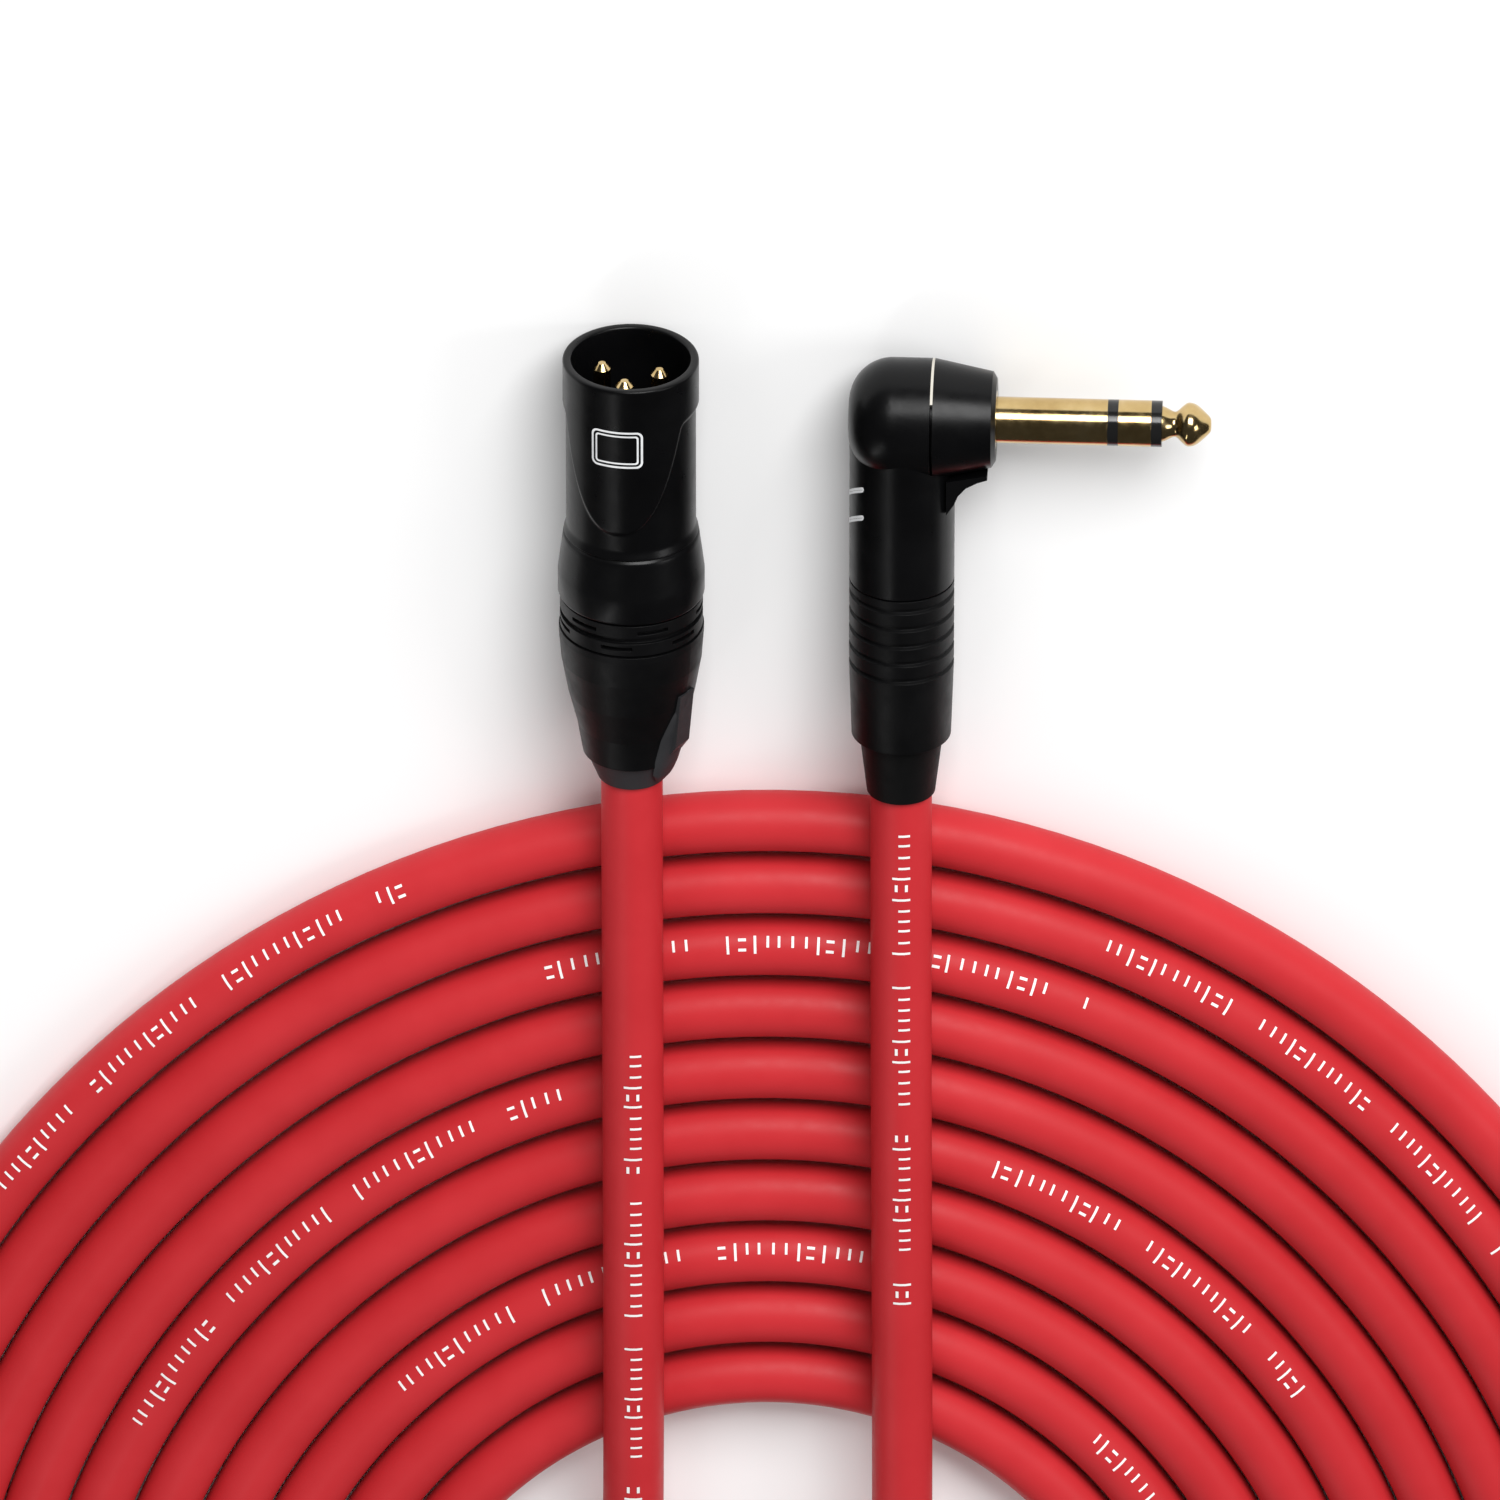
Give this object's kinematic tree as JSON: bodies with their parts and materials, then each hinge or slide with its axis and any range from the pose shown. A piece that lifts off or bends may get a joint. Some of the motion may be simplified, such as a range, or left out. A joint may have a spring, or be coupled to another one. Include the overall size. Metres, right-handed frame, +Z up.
{
  "type": "coiled audio cable",
  "caption": "Coiled round red audio cable with a straight black XLR plug and a right-angle black TRS jack plug, both with gold contacts.",
  "frame": {"origin": "on the floor, under the middle of the whole object's bounding box", "axes": "+Z up; +Y from the coil towards the two plugs, which lie side by side; +X to the right, the way the jack's contact points"},
  "size_m": [0.2698, 0.3444, 0.0211],
  "materials": {
    "jacket": "satin",
    "black_coating": "satin",
    "black_plastic": "fine texture",
    "black_rubber": "matte",
    "insert_plastic": "matte",
    "gold": "gold plated, polished",
    "insulator": "gloss",
    "pale_seam": "matte",
    "tinned_brass": "satin",
    "core_red": "satin",
    "core_white": "satin",
    "copper": "stranded"
  },
  "bodies": {
    "cable": {"cable_coil": "jacket", "lead_xlr": "jacket", "lead_trs": "jacket", "xlr_shell": "black_coating", "xlr_insert": "insert_plastic", "xlr_pin_1": "gold", "xlr_pin_2": "gold", "xlr_pin_3": "gold", "xlr_ground_contact": "tinned_brass", "xlr_chuck": "insert_plastic", "xlr_wire_drain": "copper", "xlr_wire_hot": "core_red", "xlr_wire_cold": "core_white", "trs_housing": "black_coating", "trs_nose": "black_coating", "trs_seam_ring": "pale_seam", "trs_sleeve": "gold", "trs_insulator_rear": "insulator", "trs_ring": "gold", "trs_insulator_front": "insulator", "trs_tip": "gold", "trs_tag_tip": "tinned_brass", "trs_tag_ring": "tinned_brass", "trs_tag_sleeve": "tinned_brass", "trs_chuck": "insert_plastic", "trs_wire_tip": "core_red", "trs_wire_ring": "core_white", "trs_wire_drain": "copper"},
    "xlr_travel": {"xlr_coding_ring": "black_plastic"},
    "xlr_nut": {"xlr_bushing": "black_plastic", "xlr_boot": "black_rubber"},
    "trs_travel": {"trs_boot": "black_rubber"},
    "trs_nut": {"trs_bushing": "black_plastic"}
  },
  "joints": [
    {"name": "xlr_bushing_travel", "type": "slide", "parent": "cable", "child": "xlr_travel", "axis": [0, -0.9991, 0.0419], "range_m": [0, 0.004]},
    {"name": "xlr_bushing_turn", "type": "hinge", "parent": "xlr_travel", "child": "xlr_nut", "pos_m": [-0.0185, 0.12684, 0.01126], "axis": [0, -0.9991, 0.0419], "range_deg": [0, 1440]},
    {"name": "trs_bushing_travel", "type": "slide", "parent": "cable", "child": "trs_travel", "axis": [0, -0.998, 0.0635], "range_m": [0, 0.004]},
    {"name": "trs_bushing_turn", "type": "hinge", "parent": "trs_travel", "child": "trs_nut", "pos_m": [0.0185, 0.11649, 0.01114], "axis": [0, -0.998, 0.0635], "range_deg": [0, 1440]}
  ],
  "couplings": [
    {"joint": "xlr_bushing_turn", "follows": "xlr_bushing_travel", "rad_per_m": 6280},
    {"joint": "trs_bushing_turn", "follows": "trs_bushing_travel", "rad_per_m": 6280}
  ]
}
